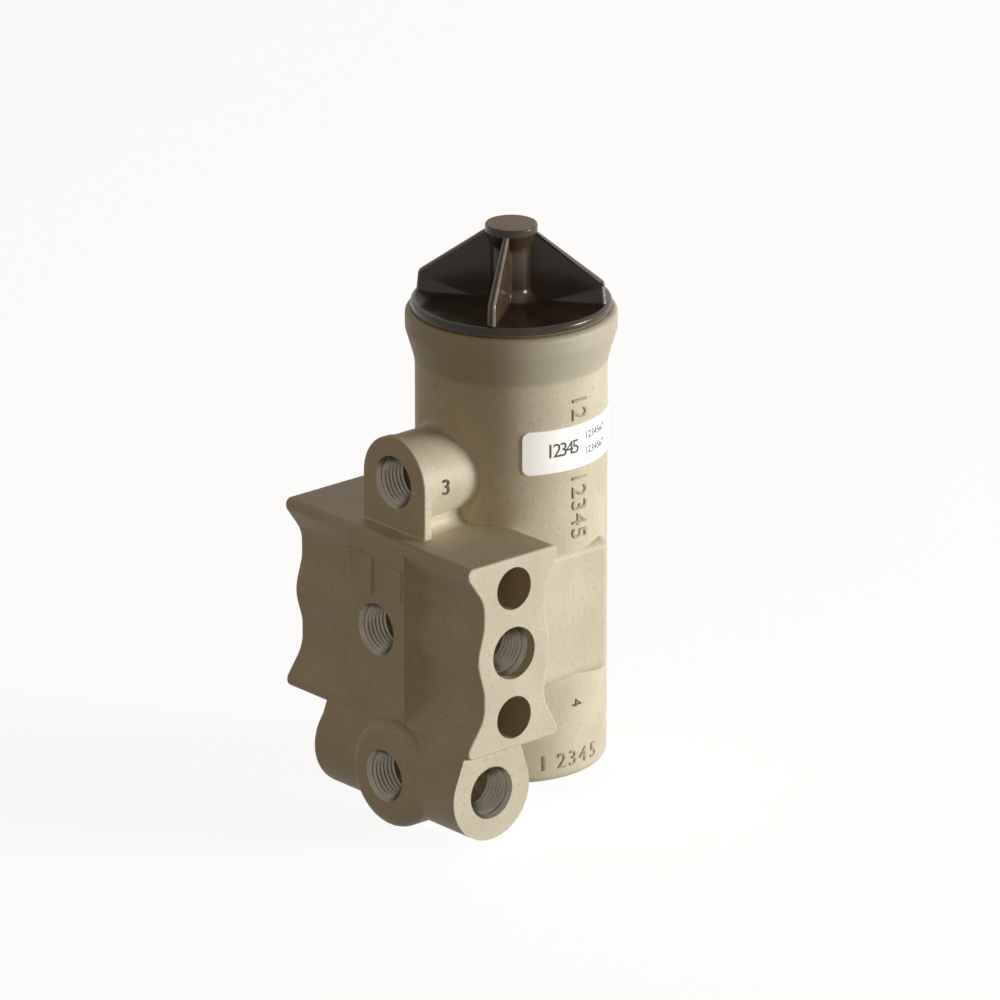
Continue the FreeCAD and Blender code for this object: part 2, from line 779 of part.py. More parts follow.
def valve_facing():
    return disc(valve_facing_radius, valve_top - valve_facing_thickness, valve_top)


def valve_spring():
    body_bottom = valve_top - valve_facing_thickness / 2 - valve_body_thickness
    return coil_spring(valve_spring_mean_radius, valve_spring_wire_radius, valve_spring_turns,
                       bore_floor, body_bottom)


def port_filter(mouth):
    """Filter disc that rests at the bottom of its pocket, behind a right-hand port."""
    inward = V(-1, 0, 0)
    return drilled(mouth + inward * port_depth, inward, filter_radius - running_clearance, filter_thickness)


def unloader_filter():
    return port_filter(V(0, 0, 0))


def reservoir_filter():
    return port_filter(V(reservoir_end_x, reservoir_y, -reservoir_drop))


def label():
    """Bare sticker wrapped on the cylinder."""
    inner = cylinder_radius + running_clearance / 2
    outer = inner + label_thickness
    top = label_bottom + label_height
    strip = revolved([(inner, label_bottom, 0), (outer, label_bottom, 0),
                      (outer, top, 0), (inner, top, 0)], label_sweep)
    strip.rotate(V(axis_x, axis_y, 0), V(0, 0, 1), label_start_angle)
    return strip


pieces = {
    "body_casting": body_casting,
    "cover": cover,
    "cover_seal": cover_seal,
    "retaining_ring": retaining_ring,
    "upper_spring_seat": upper_spring_seat,
    "lock_nut": lock_nut,
    "adjusting_screw": adjusting_screw,
    "pressure_spring": pressure_spring,
    "lower_spring_seat": lower_spring_seat,
    "exhaust_stem": exhaust_stem,
    "exhaust_stem_spring": exhaust_stem_spring,
    "stem_washer": stem_washer,
    "stem_o_ring": stem_o_ring,
    "piston": piston,
    "piston_o_ring_upper": piston_o_ring_upper,
    "piston_o_ring_lower": piston_o_ring_lower,
    "inlet_exhaust_valve": inlet_exhaust_valve,
    "valve_facing": valve_facing,
    "valve_spring": valve_spring,
    "unloader_filter": unloader_filter,
    "reservoir_filter": reservoir_filter,
    "label": label,
}

os.makedirs("parts", exist_ok=True)
for name, make in pieces.items():
    shape = make()
    shape.exportStep("parts/" + name + ".step")
    print(name, len(shape.Solids), shape.isValid(), round(shape.Volume, 1))
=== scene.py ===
import json
import math
import bmesh
import bpy
from mathutils import Matrix, Vector


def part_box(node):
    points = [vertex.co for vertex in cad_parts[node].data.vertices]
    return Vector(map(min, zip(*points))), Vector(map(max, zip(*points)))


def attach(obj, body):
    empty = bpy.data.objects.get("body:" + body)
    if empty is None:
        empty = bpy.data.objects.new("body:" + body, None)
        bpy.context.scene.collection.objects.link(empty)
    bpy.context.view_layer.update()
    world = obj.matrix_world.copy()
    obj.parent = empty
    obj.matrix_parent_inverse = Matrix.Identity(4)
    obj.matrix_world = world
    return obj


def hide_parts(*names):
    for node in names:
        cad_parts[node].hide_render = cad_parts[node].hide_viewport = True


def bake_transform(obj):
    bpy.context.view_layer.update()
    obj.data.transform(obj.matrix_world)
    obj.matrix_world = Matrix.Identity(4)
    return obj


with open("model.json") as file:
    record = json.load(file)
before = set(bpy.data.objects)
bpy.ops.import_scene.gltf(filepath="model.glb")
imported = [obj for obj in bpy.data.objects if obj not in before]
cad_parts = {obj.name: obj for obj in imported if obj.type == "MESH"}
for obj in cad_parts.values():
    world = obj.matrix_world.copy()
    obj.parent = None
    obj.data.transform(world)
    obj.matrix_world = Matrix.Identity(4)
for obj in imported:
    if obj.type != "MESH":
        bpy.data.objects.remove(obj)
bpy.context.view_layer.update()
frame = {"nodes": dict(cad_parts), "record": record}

bl_info = {
    "name": "Air Compressor Governor",
    "version": (1, 0, 0),
    "blender": (4, 5, 0),
    "location": "View3D > Sidebar > Governor",
    "description": "Dresses the governor's solids with its cover, springs, threads, label, "
                   "marks and finishes",
    "category": "Object",
}

MM = 0.001
casting_low, casting_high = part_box("body_casting")
cover_low, cover_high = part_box("cover")

# The cylinder's axis, from the cover, which is round about it
AXIS_X = (cover_low[0] + cover_high[0]) / 2
AXIS_Y = (cover_low[1] + cover_high[1]) / 2
FLOOR_Z = casting_low[2]
CYLINDER_RADIUS = 19.05 * MM
LIP_BAND_FOOT = 48.8 * MM
LIP_BAND_FULL = 49.6 * MM

# Port block: its mounting faces are square to X, the right one at X 0
BLOCK_LENGTH = 55.4 * MM
BLOCK_MIDDLE_X = -27.7 * MM
BLOCK_FRONT_Y = -11.9 * MM
BOLT_HEIGHT = 13.495 * MM
BOLT_HOLE_RADIUS = 4.365 * MM
EXHAUST_SIDE_X = AXIS_X + 9.0 * MM

# Each port's mouth, the direction into it, and how far down the thread starts
SIDE_RECESS = 2.2 * MM
RESERVOIR_Z = -28.4 * MM
INTO_SIDE = (-1.0, 0.0, 0.0)
INTO_FRONT = (0.0, 1.0, 0.0)
PORTS = {
    "unloader_right": ((0.0, 0.0, 0.0), INTO_SIDE, SIDE_RECESS),
    "unloader_left": ((-BLOCK_LENGTH, 0.0, 0.0), (1.0, 0.0, 0.0), SIDE_RECESS),
    "unloader_front": ((BLOCK_MIDDLE_X, BLOCK_FRONT_Y, 0.0), INTO_FRONT, 0.0),
    "reservoir_right": ((-1.0 * MM, -5.0 * MM, RESERVOIR_Z), INTO_SIDE, 0.0),
    "reservoir_front": ((-21.7 * MM, -15.0 * MM, RESERVOIR_Z), INTO_FRONT, 0.0),
    "exhaust": ((BLOCK_MIDDLE_X, -7.3 * MM, 29.7 * MM), INTO_FRONT, 0.0),
}

# How far the threads and the countersinks are sunk in the casting, and where a thread starts
THREAD_SINK = 0.08 * MM
THREAD_LEAD_IN = 0.25 * MM
RIM_SINK = 0.04 * MM
RIM_THICKNESS = 0.06 * MM
# Side of a triangle whose corners are 1 from its middle
TRIANGLE_SIDE = 1.7321

# Distances within which a mesh's points are merged
MERGE_FINEST = 0.0005 * MM
MERGE_FINE = 0.001 * MM
MERGE_COARSE = 0.02 * MM

# Each spring's spans from a still end to a moving one: the bodies at its ends, and their heights
SPRING_SPANS = {
    "pressure_spring": (("body", "stem_carrier", 46.3 * MM, 32.0 * MM),
                        ("stem_carrier", "lower_seat", 32.0 * MM, 17.7 * MM)),
    "exhaust_stem_spring": (("body", "stem_carrier", 7.85 * MM, 10.3 * MM),
                            ("body", "piston", 7.85 * MM, 5.4 * MM)),
    # The valve follows a part of the piston's lift, so the span runs on past the spring's end
    "valve_spring": (("body", "piston", -31.0 * MM, 10.5 * MM),),
}

# Label, with its printed rows: text, first numeral's and each step's degrees, level, height
LABEL_RADIUS = 19.075 * MM
LABEL_THICKNESS = 0.16 * MM
LABEL_ROWS = (
    ("12345", -17.5, 4.4, 0.0, 2.9 * MM),
    ("1234567", 9.0, 3.1, 1.7 * MM, 1.5 * MM),
    ("1234567", 9.0, 3.1, -1.5 * MM, 1.5 * MM),
)
INK_THICKNESS = 0.03 * MM

# Cast numerals: down the cylinder's right side by height, and round its foot by degrees
SIDE_NUMERALS = (("1", 44.6 * MM), ("2", 41.7 * MM), ("1", 28.4 * MM), ("2", 25.5 * MM),
                 ("3", 22.6 * MM), ("4", 19.7 * MM), ("5", 16.8 * MM))
SIDE_NUMERALS_ANGLE = math.radians(3.0)
FOOT_NUMERALS = (("1", -21.0), ("2", -9.0), ("3", -1.0), ("4", 7.5), ("5", 17.0))
FOOT_NUMERALS_Z = -30.6 * MM
FOOT_NUMERALS_SHARE = 0.82

# Stamped port numerals, beside the exhaust port and low on the cylinder
EXHAUST_NUMERAL_PLACE = (EXHAUST_SIDE_X, -1.3 * MM, 29.6 * MM)
EXHAUST_NUMERAL_THICKNESS = 0.16 * MM
UNLOADER_NUMERAL_ANGLE = math.radians(1.5)
UNLOADER_NUMERAL_Z = -19.0 * MM
UNLOADER_NUMERAL_SHARE = 0.8
UNLOADER_NUMERAL_THICKNESS = 0.1 * MM
# A font's size for a numeral of height 1
FONT_SIZE = 1.4

# Bare plaques on the front: middle, width and height
PLAQUES = {
    "plaque_left": ((-32.2 * MM, BLOCK_FRONT_Y, 11.1 * MM), 7.2 * MM, 8.4 * MM),
    "plaque_right": ((-23.4 * MM, BLOCK_FRONT_Y, 11.1 * MM), 7.0 * MM, 6.6 * MM),
}
PLAQUE_BORDER = 0.55 * MM
PLAQUE_SLOPE = 0.12 * MM
PLAQUE_FIELD_DEPTH = 0.32 * MM
PLAQUE_EDGE = 0.10 * MM

# The camera's aim: a point in the part, then a shift in the picture
VIEW_TARGET = Vector((-27.7, 13.4, 15.0)) * MM
AIM_RIGHT = 5.32 * MM
AIM_UP = 5.66 * MM
SENSOR_WIDTH = 36.0
FLOOR_SIZE = 6.0
FLOOR_SHADE = 0.35
FLOOR_GLOW = 0.9


class StageSizes(bpy.types.PropertyGroup):
    view_azimuth: bpy.props.FloatProperty(
        name="View azimuth", description="Direction that the camera looks from, about the vertical",
        default=math.radians(48.97), subtype="ANGLE")
    view_elevation: bpy.props.FloatProperty(
        name="View elevation", description="Height of the camera above the horizon",
        default=math.radians(20.16), subtype="ANGLE")
    view_distance: bpy.props.FloatProperty(
        name="View distance", description="From the camera to its target", default=2.222,
        unit="LENGTH")
    focal_length: bpy.props.FloatProperty(
        name="Focal length", description="Focal length on a 36 mm sensor", default=404.4)
    key_strength: bpy.props.FloatProperty(
        name="Key light", description="Power of the large soft light at the right",
        default=19.8)
    key_colour: bpy.props.FloatVectorProperty(
        name="Key colour", description="Colour of the large soft light",
        default=(0.96, 0.98, 0.97), subtype="COLOR", size=3)
    key_azimuth: bpy.props.FloatProperty(
        name="Key azimuth", description="Direction of the large light, about the vertical",
        default=math.radians(42.0), subtype="ANGLE")
    key_elevation: bpy.props.FloatProperty(
        name="Key elevation", description="Height of the large light above the horizon",
        default=math.radians(1.5), subtype="ANGLE")
    key_distance: bpy.props.FloatProperty(
        name="Key distance", description="From the large light to the part", default=1.2,
        unit="LENGTH")
    key_size: bpy.props.FloatProperty(
        name="Key size", description="Side of the large square light", default=0.36,
        unit="LENGTH")
    ambient: bpy.props.FloatVectorProperty(
        name="Room light", description="Colour and level of the room's light at eye level",
        default=(0.345, 0.250, 0.145), subtype="COLOR", size=3)
    overhead: bpy.props.FloatProperty(
        name="Overhead share",
        description="Level of the room's light straight above, against eye level",
        default=0.1, min=0.0, max=1.0)


class ThreadSizes(bpy.types.PropertyGroup):
    wall_radius: bpy.props.FloatProperty(
        name="Bore radius", description="Radius of the plain bore that the thread is cut in",
        default=4.75 * MM, unit="LENGTH")
    mouth_radius: bpy.props.FloatProperty(
        name="Mouth radius", description="Outer radius of the countersink",
        default=5.4 * MM, unit="LENGTH")
    chamfer: bpy.props.FloatProperty(
        name="Countersink depth", description="Depth of the countersink",
        default=0.8 * MM, unit="LENGTH")
    pitch: bpy.props.FloatProperty(
        name="Thread pitch", description="Pitch of the pipe thread, 27 to the inch",
        default=0.9407 * MM, unit="LENGTH")
    depth: bpy.props.FloatProperty(
        name="Thread depth", description="Height of the thread's ridge",
        default=0.44 * MM, unit="LENGTH")
    turns: bpy.props.IntProperty(
        name="Thread turns", description="Turns of thread in each port", default=6, min=1, max=8)
    steps: bpy.props.IntProperty(
        name="Steps per turn", description="Flats in one turn of the thread",
        default=56, min=16, max=96)


class LabelSizes(bpy.types.PropertyGroup):
    start_angle: bpy.props.FloatProperty(
        name="Start angle", description="Direction of the label's left edge",
        default=math.radians(-34.5), subtype="ANGLE")
    sweep: bpy.props.FloatProperty(
        name="Sweep", description="Angle that the label wraps",
        default=math.radians(114.0), subtype="ANGLE")
    corner: bpy.props.FloatProperty(
        name="Corner radius", description="Rounding of the label's corners",
        default=1.45 * MM, unit="LENGTH")
    steps: bpy.props.IntProperty(
        name="Steps", description="Flats round the label's sweep", default=24, min=12, max=24)


class CoverSizes(bpy.types.PropertyGroup):
    edge: bpy.props.FloatProperty(
        name="Moulded edge", description="Rounding of the cover's outer edges", default=0.5 * MM,
        unit="LENGTH")
    sharp: bpy.props.FloatProperty(
        name="Sharp from", description="Edges that turn more than this are rounded",
        default=math.radians(40.0), subtype="ANGLE")
    segments: bpy.props.IntProperty(
        name="Edge segments", description="Faces across a rounded edge", default=3, min=1, max=4)


class MarkSizes(bpy.types.PropertyGroup):
    raised: bpy.props.FloatProperty(
        name="Raised height", description="How far a cast mark stands out",
        default=0.2 * MM, unit="LENGTH")
    tall: bpy.props.FloatProperty(
        name="Large mark", description="Height of the cast numerals",
        default=3.9 * MM, unit="LENGTH")
    small: bpy.props.FloatProperty(
        name="Small mark", description="Height of the port numerals",
        default=3.2 * MM, unit="LENGTH")
    plaque: bpy.props.FloatProperty(
        name="Plaque height", description="How far the bare plaques stand out",
        default=0.45 * MM, unit="LENGTH")


class FinishColours(bpy.types.PropertyGroup):
    casting: bpy.props.FloatVectorProperty(
        name="Casting", description="Colour of the tumbled aluminium casting",
        default=(0.70, 0.635, 0.475), subtype="COLOR", size=3)
    casting_dark: bpy.props.FloatVectorProperty(
        name="Casting shade", description="Colour in the casting's hollows",
        default=(0.62, 0.555, 0.41), subtype="COLOR", size=3)
    # Painted shade: the walls of the two bolt holes are coloured darker for the shade inside them
    bolt_hole_shade: bpy.props.FloatVectorProperty(
        name="Bolt hole", description="Painted shade on the walls of the two bolt holes",
        default=(0.46, 0.38, 0.27), subtype="COLOR", size=3)
    plastic: bpy.props.FloatVectorProperty(
        name="Cover", description="Colour of the moulded cover",
        default=(0.050, 0.032, 0.017), subtype="COLOR", size=3)
    # Painted highlight: the cover's rounded edges are coloured lighter for the light line that they
    # catch
    edge_highlight: bpy.props.FloatVectorProperty(
        name="Cover edges", description="Painted highlight on the cover's rounded edges",
        default=(0.20, 0.155, 0.12), subtype="COLOR", size=3)
    gate: bpy.props.FloatVectorProperty(
        name="Cover top", description="Colour of the matt disc on top of the cover",
        default=(0.60, 0.52, 0.44), subtype="COLOR", size=3)
    thread: bpy.props.FloatVectorProperty(
        name="Cut threads", description="Colour of the bright cut metal",
        default=(0.225, 0.195, 0.15), subtype="COLOR", size=3)
    label: bpy.props.FloatVectorProperty(
        name="Label", description="Colour of the sticker", default=(0.90, 0.90, 0.88),
        subtype="COLOR", size=3)
    ink: bpy.props.FloatVectorProperty(
        name="Ink", description="Colour of the printed numerals", default=(0.035, 0.03, 0.028),
        subtype="COLOR", size=3)
    # The cast numerals are coloured darker than the casting round them
    numeral_tone: bpy.props.FloatVectorProperty(
        name="Cast numerals", description="Darker colour of the cast numerals on the cylinder",
        default=(0.40, 0.345, 0.24), subtype="COLOR", size=3)
    # Painted shadow: a dark colour for the shade in stamped grooves, on numerals that stand
    # slightly proud
    stamp_shadow: bpy.props.FloatVectorProperty(
        name="Stamped numerals", description="Colour in the stamped numerals",
        default=(0.10, 0.08, 0.055), subtype="COLOR", size=3)


# Materials

def new_material(name):
    """An empty material with its principled shader."""
    material = bpy.data.materials.new(name)
    material.use_nodes = True
    material.node_tree.nodes.clear()
    tree = material.node_tree
    output = tree.nodes.new("ShaderNodeOutputMaterial")
    shader = tree.nodes.new("ShaderNodeBsdfPrincipled")
    tree.links.new(shader.outputs["BSDF"], output.inputs["Surface"])
    return material, tree, shader


def object_coordinates(tree):
    return tree.nodes.new("ShaderNodeTexCoord").outputs["Object"]


def ramp(tree, factor, low, high, low_value=0.0, high_value=1.0):
    """Goes from low_value to high_value as the factor goes from low to high."""
    node = tree.nodes.new("ShaderNodeMapRange")
    node.inputs["From Min"].default_value = low
    node.inputs["From Max"].default_value = high
    node.inputs["To Min"].default_value = low_value
    node.inputs["To Max"].default_value = high_value
    tree.links.new(factor, node.inputs["Value"])
    return node.outputs["Result"]


def shade_of(colour, share):
    return tuple(share * value for value in colour)


def blend_colour(tree, factor, first, second):
    """The first colour where the factor is 0 and the second where it is 1: values or sockets."""
    node = tree.nodes.new("ShaderNodeMix")
    node.data_type = "RGBA"
    tree.links.new(factor, node.inputs["Factor"])
    # Inputs 6 and 7 are the two colours of a Mix node
    for socket, value in ((node.inputs[6], first), (node.inputs[7], second)):
        if hasattr(value, "is_output"):
            tree.links.new(value, socket)
        else:
            socket.default_value = (*value, 1.0)
    return node.outputs[2]


def grain_group():
    """Shared fine grain: a height for bumps and a mottling mask, at a given scale."""
    name = "Metal grain"
    if name in bpy.data.node_groups:
        return bpy.data.node_groups[name]
    group = bpy.data.node_groups.new(name, "ShaderNodeTree")
    group.interface.new_socket("Fine scale", in_out="INPUT", socket_type="NodeSocketFloat")
    group.interface.new_socket("Broad scale", in_out="INPUT", socket_type="NodeSocketFloat")
    group.interface.new_socket("Height", in_out="OUTPUT", socket_type="NodeSocketFloat")
    group.interface.new_socket("Mottle", in_out="OUTPUT", socket_type="NodeSocketFloat")
    inputs = group.nodes.new("NodeGroupInput")
    outputs = group.nodes.new("NodeGroupOutput")
    coordinates = group.nodes.new("ShaderNodeTexCoord").outputs["Object"]
    fine = group.nodes.new("ShaderNodeTexNoise")
    fine.inputs["Detail"].default_value = 4.0
    broad = group.nodes.new("ShaderNodeTexNoise")
    broad.inputs["Detail"].default_value = 2.0
    group.links.new(coordinates, fine.inputs["Vector"])
    group.links.new(coordinates, broad.inputs["Vector"])
    group.links.new(inputs.outputs["Fine scale"], fine.inputs["Scale"])
    group.links.new(inputs.outputs["Broad scale"], broad.inputs["Scale"])
    group.links.new(fine.outputs["Fac"], outputs.inputs["Height"])
    group.links.new(broad.outputs["Fac"], outputs.inputs["Mottle"])
    return group


def add_grain(tree, fine_scale, broad_scale):
    node = tree.nodes.new("ShaderNodeGroup")
    node.node_tree = grain_group()
    node.inputs["Fine scale"].default_value = fine_scale
    node.inputs["Broad scale"].default_value = broad_scale
    return node.outputs["Height"], node.outputs["Mottle"]


def add_bump(tree, shader, height, strength, distance):
    bump = tree.nodes.new("ShaderNodeBump")
    bump.inputs["Strength"].default_value = strength
    bump.inputs["Distance"].default_value = distance
    tree.links.new(height, bump.inputs["Height"])
    tree.links.new(bump.outputs["Normal"], shader.inputs["Normal"])


def mottled(name, fine_scale, broad_scale, low, high, first, second):
    """A material whose colour goes from first to second as the mottling goes from low to high."""
    material, tree, shader = new_material(name)
    height, mottle = add_grain(tree, fine_scale, broad_scale)
    colour = blend_colour(tree, ramp(tree, mottle, low, high), first, second)
    tree.links.new(colour, shader.inputs["Base Color"])
    return material, tree, shader, height


def vary_roughness(tree, shader, height, low_value, high_value):
    tree.links.new(ramp(tree, height, 0.3, 0.7, low_value, high_value), shader.inputs["Roughness"])


def height_above(tree, start, end):
    """0 below start and 1 above end, up the piece's own Z."""
    split = tree.nodes.new("ShaderNodeSeparateXYZ")
    tree.links.new(object_coordinates(tree), split.inputs[0])
    return ramp(tree, split.outputs["Z"], start, end)


def math_node(tree, operation, *values):
    """A Math node on sockets or plain values."""
    node = tree.nodes.new("ShaderNodeMath")
    node.operation = operation
    for socket, value in zip(node.inputs, values):
        if hasattr(value, "is_output"):
            tree.links.new(value, socket)
        else:
            socket.default_value = value
    return node.outputs[0]


# Mask for the painted shade in the bolt holes
def bolt_hole_shade_mask(tree):
    """1 on the walls of the two bolt holes, which run along X, and 0 elsewhere."""
    split = tree.nodes.new("ShaderNodeSeparateXYZ")
    tree.links.new(object_coordinates(tree), split.inputs[0])
    # The holes are as far above the middle as below it
    from_hole = math_node(tree, "SUBTRACT",
                          math_node(tree, "ABSOLUTE", split.outputs["Z"]), BOLT_HEIGHT)
    across = tree.nodes.new("ShaderNodeCombineXYZ")
    tree.links.new(split.outputs["Y"], across.inputs["X"])
    tree.links.new(from_hole, across.inputs["Y"])
    distance = tree.nodes.new("ShaderNodeVectorMath")
    distance.operation = "LENGTH"
    tree.links.new(across.outputs[0], distance.inputs[0])
    just_outside = BOLT_HOLE_RADIUS + 0.04 * MM
    return math_node(tree, "LESS_THAN", distance.outputs["Value"], just_outside)


def casting_finish(colours):
    """Tumbled cast aluminium, with a darker band on the lip and painted shade on the walls of the
    bolt holes.
    """
    material, tree, shader = new_material("Tumbled casting")
    height, mottle = add_grain(tree, 1300.0, 110.0)
    body = blend_colour(tree, ramp(tree, mottle, 0.30, 0.70), colours.casting_dark, colours.casting)
    pits = ramp(tree, height, 0.28, 0.46)
    body = blend_colour(tree, pits, shade_of(colours.casting_dark, 0.90), body)
    lip = height_above(tree, LIP_BAND_FOOT, LIP_BAND_FULL)
    colour = blend_colour(tree, lip, body, shade_of(colours.casting, 0.74))
    # Painted shade: darkens the walls of the bolt holes, where shade falls inside them
    colour = blend_colour(tree, bolt_hole_shade_mask(tree), colour, tuple(colours.bolt_hole_shade))
    tree.links.new(colour, shader.inputs["Base Color"])
    vary_roughness(tree, shader, height, 0.50, 0.62)
    shader.inputs["Metallic"].default_value = 0.04
    shader.inputs["Specular IOR Level"].default_value = 0.3
    add_bump(tree, shader, height, 0.45, 0.00009)
    return material


def plastic_finish(colours):
    """Moulded plastic with a faint orange peel, and a matt disc on the very top."""
    material, tree, shader = new_material("Moulded plastic")
    height, mottle = add_grain(tree, 1400.0, 180.0)
    body = blend_colour(tree, ramp(tree, mottle, 0.4, 0.75), colours.plastic,
                        shade_of(colours.plastic, 1.7))
    top = height_above(tree, cover_high[2] - 0.05 * MM, cover_high[2] - 0.03 * MM)
    tree.links.new(blend_colour(tree, top, body, colours.gate), shader.inputs["Base Color"])
    gloss = ramp(tree, mottle, 0.3, 0.7, 0.19, 0.27)
    # The disc on top is rougher by 0.4
    tree.links.new(math_node(tree, "MULTIPLY_ADD", top, 0.4, gloss), shader.inputs["Roughness"])
    shader.inputs["Specular IOR Level"].default_value = 0.34
    add_bump(tree, shader, height, 0.12, 0.00005)
    return material


def edge_highlight_finish(colours):
    """Moulded plastic along an edge, painted lighter and glossier as a highlight."""
    material, tree, shader, height = mottled("Painted edge highlight", 1600.0, 260.0, 0.35, 0.65,
                                             colours.edge_highlight, shade_of(colours.edge_highlight, 1.5))
    vary_roughness(tree, shader, height, 0.22, 0.32)
    return material


def plain_metal(name, colour, metallic, roughness, fine_scale=1500.0):
    """An even metal, rubber or film with a fine grain."""
    material, tree, shader, height = mottled(name, fine_scale, 300.0, 0.35, 0.65,
                                             shade_of(colour, 0.8), colour)
    vary_roughness(tree, shader, height, roughness * 0.85, roughness * 1.15)
    shader.inputs["Metallic"].default_value = metallic
    add_bump(tree, shader, height, 0.15, 0.00003)
    return material


def cut_metal(name, colour):
    """Bare aluminium fresh from the tap, bright with fine tool marks."""
    material, tree, shader, height = mottled(name, 2600.0, 420.0, 0.35, 0.65,
                                             shade_of(colour, 0.85), colour)
    vary_roughness(tree, shader, height, 0.22, 0.38)
    shader.inputs["Metallic"].default_value = 0.85
    add_bump(tree, shader, height, 0.06, 0.00001)
    return material


def plain_paint(name, colour, roughness):
    """Ink or paint of one colour, with a little unevenness."""
    lighter = tuple(min(1.0, value) for value in shade_of(colour, 1.35))
    material, _, shader, _ = mottled(name, 2200.0, 500.0, 0.4, 0.7, colour, lighter)
    shader.inputs["Roughness"].default_value = roughness
    return material


def glowing_film_finish(colour):
    """Clean white label film with a soft sheen, and a faint painted glow that keeps it white in the
    shade.
    """
    material, tree, shader, height = mottled("Label sheet", 1800.0, 140.0, 0.3, 0.7,
                                             shade_of(colour, 0.965), colour)
    vary_roughness(tree, shader, height, 0.36, 0.46)
    # Painted light: a faint white glow keeps the label bright on its shaded side
    shader.inputs["Emission Color"].default_value = (1.0, 0.98, 0.94, 1.0)
    shader.inputs["Emission Strength"].default_value = 0.3
    return material


def assign(target, material):
    """Gives every face of the target this material."""
    if target.data.materials:
        for index in range(len(target.data.materials)):
            target.data.materials[index] = material
    else:
        target.data.materials.append(material)


# Stage

def direction(azimuth, elevation):
    """The unit vector to a direction that is measured from +X."""
    return Vector((math.cos(azimuth) * math.cos(elevation), math.sin(azimuth) * math.cos(elevation),
                   math.sin(elevation)))


def seen_directly(tree):
    """1 for rays of the camera, of reflections and of light through glass, and 0 for others."""
    rays = tree.nodes.new("ShaderNodeLightPath")
    seen = math_node(tree, "MAXIMUM", rays.outputs["Is Camera Ray"], rays.outputs["Is Glossy Ray"])
    return math_node(tree, "MAXIMUM", seen, rays.outputs["Is Transmission Ray"])


def mix_by_ray(tree, output, plain, seen):
    """The seen shader for rays that see it directly, and the plain one for other light."""
    mix = tree.nodes.new("ShaderNodeMixShader")
    tree.links.new(seen_directly(tree), mix.inputs[0])
    tree.links.new(plain.outputs[0], mix.inputs[1])
    tree.links.new(seen.outputs[0], mix.inputs[2])
    tree.links.new(mix.outputs[0], output.inputs["Surface"])


def white_backdrop_material(name, shade):
    """White to the eye and to reflections, and a plain pale surface to other light."""
    material = bpy.data.materials.new(name)
    material.use_nodes = True
    tree = material.node_tree
    tree.nodes.clear()
    output = tree.nodes.new("ShaderNodeOutputMaterial")
    diffuse = tree.nodes.new("ShaderNodeBsdfDiffuse")
    diffuse.inputs["Color"].default_value = (shade, shade, shade, 1.0)
    glow = tree.nodes.new("ShaderNodeEmission")
    glow.inputs["Color"].default_value = (1.0, 1.0, 1.0, 1.0)
    glow.inputs["Strength"].default_value = FLOOR_GLOW
    seen_floor = tree.nodes.new("ShaderNodeAddShader")
    tree.links.new(glow.outputs[0], seen_floor.inputs[0])
    tree.links.new(diffuse.outputs[0], seen_floor.inputs[1])
    mix_by_ray(tree, output, diffuse, seen_floor)
    return material


def white_world(ambient, overhead):
    """White to the eye, and a warm room light that falls off upwards."""
    world = bpy.data.worlds.new("Studio")
    bpy.context.scene.world = world
    world.use_nodes = True
    tree = world.node_tree
    tree.nodes.clear()
    output = tree.nodes.new("ShaderNodeOutputWorld")
    seen = tree.nodes.new("ShaderNodeBackground")
    seen.inputs["Color"].default_value = (1.0, 1.0, 1.0, 1.0)
    seen.inputs["Strength"].default_value = 1.0
    light = tree.nodes.new("ShaderNodeBackground")
    light.inputs["Color"].default_value = (*ambient, 1.0)
    split = tree.nodes.new("ShaderNodeSeparateXYZ")
    tree.links.new(tree.nodes.new("ShaderNodeTexCoord").outputs["Generated"], split.inputs[0])
    level = ramp(tree, split.outputs["Z"], 0.1, 0.9, 1.0, overhead)
    tree.links.new(level, light.inputs["Strength"])
    mix_by_ray(tree, output, light, seen)


def key_light(sizes):
    """Large square light that faces the part."""
    away = direction(sizes.key_azimuth, sizes.key_elevation)
    data = bpy.data.lights.new("Key light", "AREA")
    data.shape = "SQUARE"
    data.size = sizes.key_size
    data.energy = sizes.key_strength
    data.color = tuple(sizes.key_colour)
    lamp = bpy.data.objects.new("Key light", data)
    bpy.context.scene.collection.objects.link(lamp)
    lamp.location = VIEW_TARGET + away * sizes.key_distance
    lamp.rotation_euler = away.to_track_quat("Z", "Y").to_euler()


class GOVERNOR_OT_stage(bpy.types.Operator):
    """Set the floor, the light and the camera"""
    bl_idname = "governor.stage"
    bl_label = "Stage"

    def execute(self, context):
        sizes = context.scene.governor_stage
        azimuth = sizes.view_azimuth
        # The camera looks along +Y at azimuth 0, and down
        look = direction(azimuth + math.pi / 2, -sizes.view_elevation)
        right = Vector((math.cos(azimuth), math.sin(azimuth), 0.0))
        aim = VIEW_TARGET + right * AIM_RIGHT + right.cross(look) * AIM_UP
        data = bpy.data.cameras.new("Camera")
        data.lens = sizes.focal_length
        data.sensor_width = SENSOR_WIDTH
        data.clip_end = 20.0
        camera = bpy.data.objects.new("Camera", data)
        context.scene.collection.objects.link(camera)
        camera.location = aim - look * sizes.view_distance
        camera.rotation_euler = look.to_track_quat("-Z", "Y").to_euler()
        context.scene.camera = camera
        deselect_all()
        bpy.ops.mesh.primitive_plane_add(size=FLOOR_SIZE, location=(AXIS_X, 0.0, FLOOR_Z))
        floor = take_new("floor")
        settle(floor)
        assign(floor, white_backdrop_material("Pale floor", FLOOR_SHADE))
        white_world(sizes.ambient, sizes.overhead)
        key_light(sizes)
        context.scene.view_settings.view_transform = "Standard"
        return {"FINISHED"}


